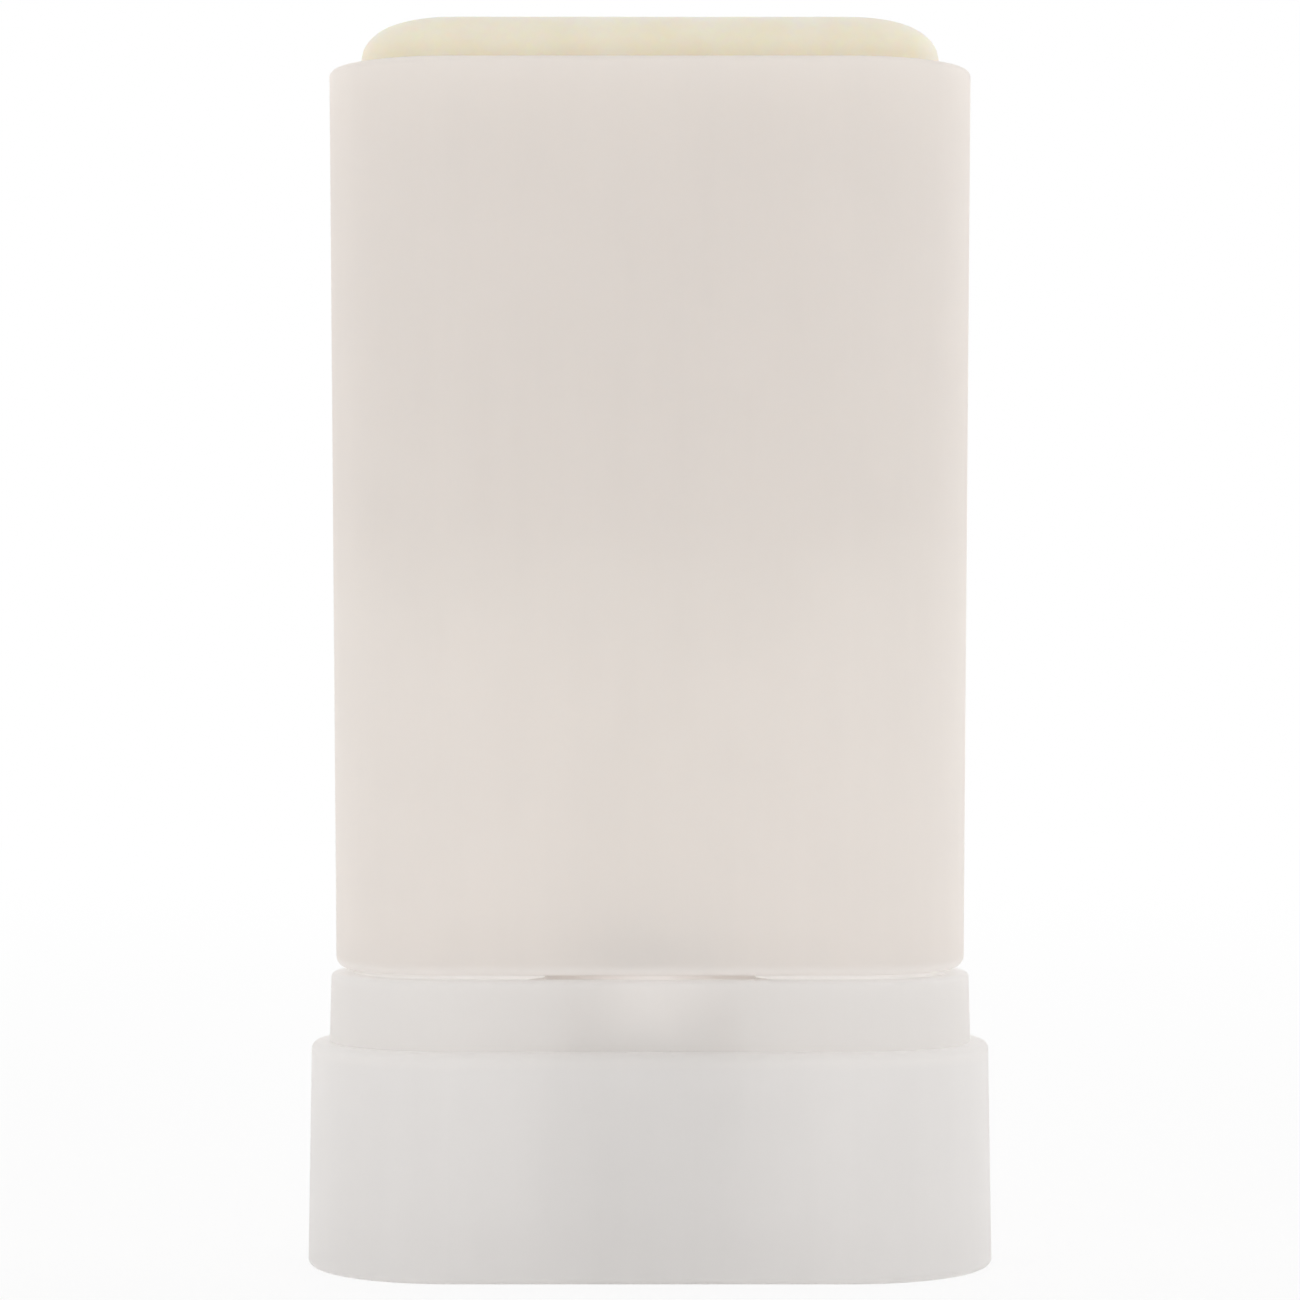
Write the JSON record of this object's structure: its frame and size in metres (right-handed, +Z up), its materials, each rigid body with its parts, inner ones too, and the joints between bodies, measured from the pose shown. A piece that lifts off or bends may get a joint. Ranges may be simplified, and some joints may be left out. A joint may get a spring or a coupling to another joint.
{
  "type": "sunscreen stick",
  "caption": "Flat oval twist-up sunscreen stick with its cap off: a translucent barrel, a pale balm standing out of the rim, and an oval base that turns to raise it.",
  "frame": {"origin": "centre of the flat face that the twist base stands on", "axes": "+Z up along the barrel, +X along the oval's width, +Y through its depth towards the back"},
  "size_m": [0.041, 0.0176, 0.0746],
  "materials": {
    "base_plastic": "satin, translucent natural white",
    "barrel_plastic": "satin, translucent natural white",
    "spindle_plastic": "smooth, opaque white",
    "elevator_plastic": "smooth, opaque white",
    "balm": "waxy, soft sheen"
  },
  "bodies": {
    "case": {"barrel": "barrel_plastic"},
    "drive": {"twist_base": "base_plastic", "spindle": "spindle_plastic"},
    "lift": {"elevator": "elevator_plastic", "balm": "balm"}
  },
  "joints": [
    {"name": "base_turn", "type": "hinge", "parent": "case", "child": "drive", "pos_m": [0, 0, 0.0176], "axis": [0, 0, 1], "range_deg": [0, 2160]},
    {"name": "balm_lift", "type": "slide", "parent": "case", "child": "lift", "axis": [0, 0, 1], "range_m": [0, 0.027]}
  ],
  "couplings": [
    {"joint": "balm_lift", "follows": "base_turn", "m_per_rad": 0.0007162}
  ]
}
